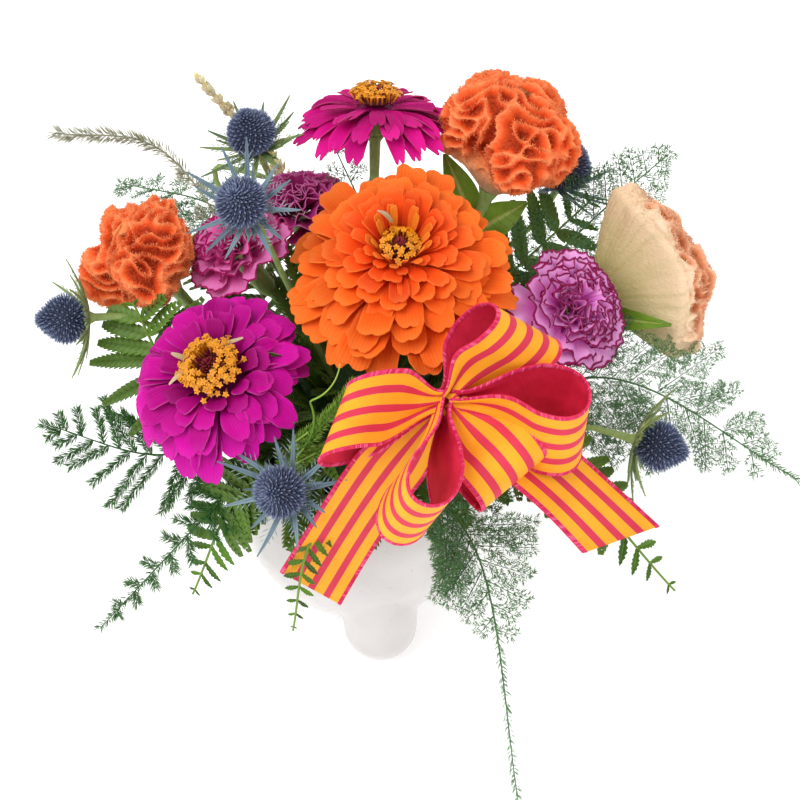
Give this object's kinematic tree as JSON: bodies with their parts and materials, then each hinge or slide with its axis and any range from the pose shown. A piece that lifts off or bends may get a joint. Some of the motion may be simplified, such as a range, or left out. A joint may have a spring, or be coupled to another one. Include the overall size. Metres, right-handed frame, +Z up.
{
  "type": "zinnia flower arrangement",
  "caption": "Zinnias with carnations, cockscombs, sea hollies, ferns and a striped bow, arranged in floral foam in a round white ceramic bowl on stub legs.",
  "frame": {"origin": "on the table, under the middle of the whole arrangement's outline", "axes": "+Z up; +X to the right and -Y towards somebody looking at the bow in front"},
  "size_m": [0.3566, 0.3102, 0.2595],
  "materials": {
    "bowl_glaze": "glossy white glaze",
    "floral_foam": "fine open-cell foam, wet",
    "orange_petals": "matte petals with fine veins",
    "flower_disc": "small open florets round a dark cone",
    "stem_green": "fresh green stem",
    "magenta_petals": "matte petals with fine veins and paler undersides",
    "lilac_petals": "frilled petals with dark edges",
    "wine_petals": "frilled petals with pale edges",
    "pink_petals": "frilled petals with dark edges",
    "comb_orange": "velvety folded crest",
    "comb_cream": "velvety ribbed flank with a peach crest",
    "thistle_blue": "spiny blue-grey florets",
    "bract_blue_green": "waxy blue-green bracts and stem",
    "ribbon_cloth": "ribbed ribbon with stripes and stitched edges",
    "pick_wood": "plain wood",
    "spike_cream": "fluffy cream tufts",
    "fern_green": "waxy leather-fern leaflets",
    "asparagus_green": "fine soft needles"
  },
  "bodies": {
    "root": {"bowl": "bowl_glaze", "foam": "floral_foam", "zinnia_orange": "orange_petals", "zinnia_orange_disc": "flower_disc", "zinnia_orange_stem": "stem_green", "zinnia_left": "magenta_petals", "zinnia_left_disc": "flower_disc", "zinnia_left_stem": "stem_green", "zinnia_top": "magenta_petals", "zinnia_top_disc": "flower_disc", "zinnia_top_stem": "stem_green", "carnation_right": "lilac_petals", "carnation_right_stem": "stem_green", "carnation_top": "wine_petals", "carnation_top_stem": "stem_green", "carnation_left": "pink_petals", "carnation_left_stem": "stem_green", "celosia_top": "comb_orange", "celosia_top_stem": "stem_green", "celosia_left": "comb_orange", "celosia_left_stem": "stem_green", "celosia_fan": "comb_cream", "celosia_fan_stem": "stem_green", "thistle_front": "thistle_blue", "thistle_front_bracts": "bract_blue_green", "thistle_top": "thistle_blue", "thistle_top_bracts": "bract_blue_green", "thistle_far_left": "thistle_blue", "thistle_far_left_bracts": "bract_blue_green", "thistle_low": "thistle_blue", "thistle_low_bracts": "bract_blue_green", "thistle_right": "thistle_blue", "thistle_right_bracts": "bract_blue_green", "thistle_back": "thistle_blue", "thistle_back_bracts": "bract_blue_green", "ribbon_bow": "ribbon_cloth", "bow_pick": "pick_wood", "pale_spike": "spike_cream", "fern_left": "fern_green", "fern_low_left": "fern_green", "fern_front": "fern_green", "fern_right_top": "fern_green", "fern_right_low": "fern_green", "fern_centre": "fern_green", "fern_back_left": "fern_green", "fern_back": "fern_green", "fern_back_right": "fern_green", "spray_top_left": "asparagus_green", "spray_top": "asparagus_green", "spray_top_right": "asparagus_green", "spray_right": "asparagus_green", "spray_low": "asparagus_green", "spray_low_left": "asparagus_green", "spray_left": "asparagus_green", "spray_back_left": "asparagus_green"}
  },
  "joints": []
}
